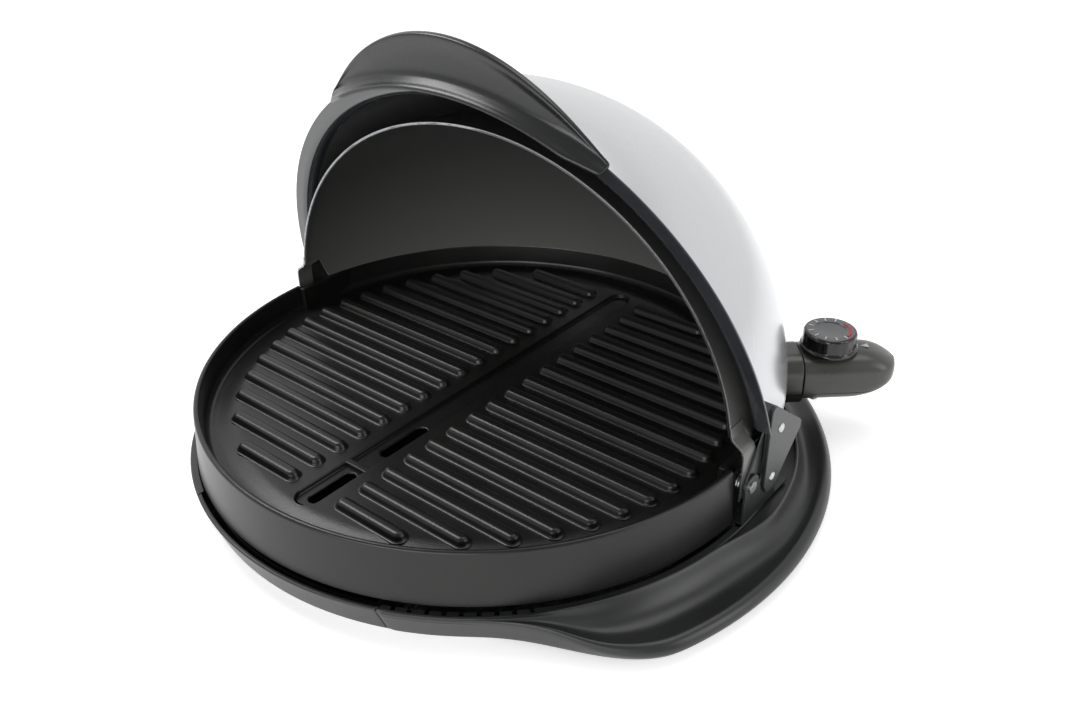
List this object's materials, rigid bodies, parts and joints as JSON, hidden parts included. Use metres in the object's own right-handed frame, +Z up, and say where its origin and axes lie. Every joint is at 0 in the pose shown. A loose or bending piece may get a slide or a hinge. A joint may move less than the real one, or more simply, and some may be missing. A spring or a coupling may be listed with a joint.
{
  "type": "electric indoor grill with lid",
  "caption": "Round countertop electric grill: ribbed cooking plate on a base ring with a side wing, roll-top domed lid, sliding drip tray and plug-in temperature probe with a knob.",
  "frame": {"origin": "middle of the whole grill's bounding box, on the table under the feet", "axes": "+Z up, -Y the front where the drip tray pulls out, +X the side with the wing and the probe"},
  "size_m": [0.4563, 0.4169, 0.2985],
  "materials": {
    "silver_paint": "silver lacquer outside, black enamel inside",
    "black_abs": "satin black moulding with a fine spark texture",
    "nonstick": "black non-stick coating on cast aluminium",
    "black_enamel": "black gloss enamel",
    "dark_steel": "black painted sheet steel",
    "bright_steel": "bright steel",
    "sheet_aluminium": "bare sheet",
    "element_tube": "oxidised tube",
    "black_plastic": "fine satin",
    "ceramic": "unglazed insulator",
    "rubber": "matte",
    "white_print": "printed white",
    "red_print": "printed red"
  },
  "bodies": {
    "base": {"base_ring": "black_abs", "side_wing": "black_abs", "bottom_pan": "sheet_aluminium", "pan_screws": "bright_steel", "feet": "rubber", "tray_rails": "bright_steel", "plate_posts": "dark_steel", "heat_reflector": "sheet_aluminium", "grill_plate": "nonstick", "heating_element": "element_tube", "element_clips": "bright_steel", "terminal_block": "ceramic", "terminal_pins": "bright_steel", "probe_sleeve": "black_plastic", "sleeve_shelf": "black_abs", "hinge_bracket_left": "dark_steel", "hinge_bracket_right": "dark_steel", "hinge_leaf_left": "dark_steel", "hinge_leaf_right": "dark_steel", "hinge_rivets": "bright_steel", "hinge_pin_left": "bright_steel", "hinge_pin_right": "bright_steel", "hinge_spring_left": "bright_steel", "hinge_spring_right": "bright_steel", "lid_inner_shell": "black_enamel"},
    "lid": {"lid_outer_shell": "silver_paint", "lid_arm_left": "dark_steel", "lid_arm_right": "dark_steel", "lid_handle": "black_abs", "handle_screws": "bright_steel"},
    "tray": {"drip_tray": "black_abs"},
    "probe": {"probe_housing_lower": "black_plastic", "probe_housing_upper": "black_plastic", "probe_nose": "black_plastic", "probe_contacts": "bright_steel", "sensor_rod": "bright_steel", "thermostat_block": "ceramic", "housing_screws": "bright_steel", "pointer_mark": "white_print"},
    "knob": {"knob_shaft": "bright_steel", "temperature_knob": "black_plastic", "dial_marks": "white_print", "dial_arc": "red_print"}
  },
  "joints": [
    {"name": "lid_roll", "type": "hinge", "parent": "base", "child": "lid", "pos_m": [-0.01661, 0.007, 0.05], "axis": [1, 0, 0], "range_deg": [0, 78.2]},
    {"name": "tray_slide", "type": "slide", "parent": "base", "child": "tray", "axis": [0, -1, 0], "range_m": [0, 0.16]},
    {"name": "probe_pull", "type": "slide", "parent": "base", "child": "probe", "axis": [0.7431, 0.6691, 0], "range_m": [0, 0.11]},
    {"name": "knob_turn", "type": "hinge", "parent": "probe", "child": "knob", "pos_m": [0.16324, 0.16193, 0.067], "axis": [0, 0, 1], "range_deg": [-135, 135]}
  ]
}
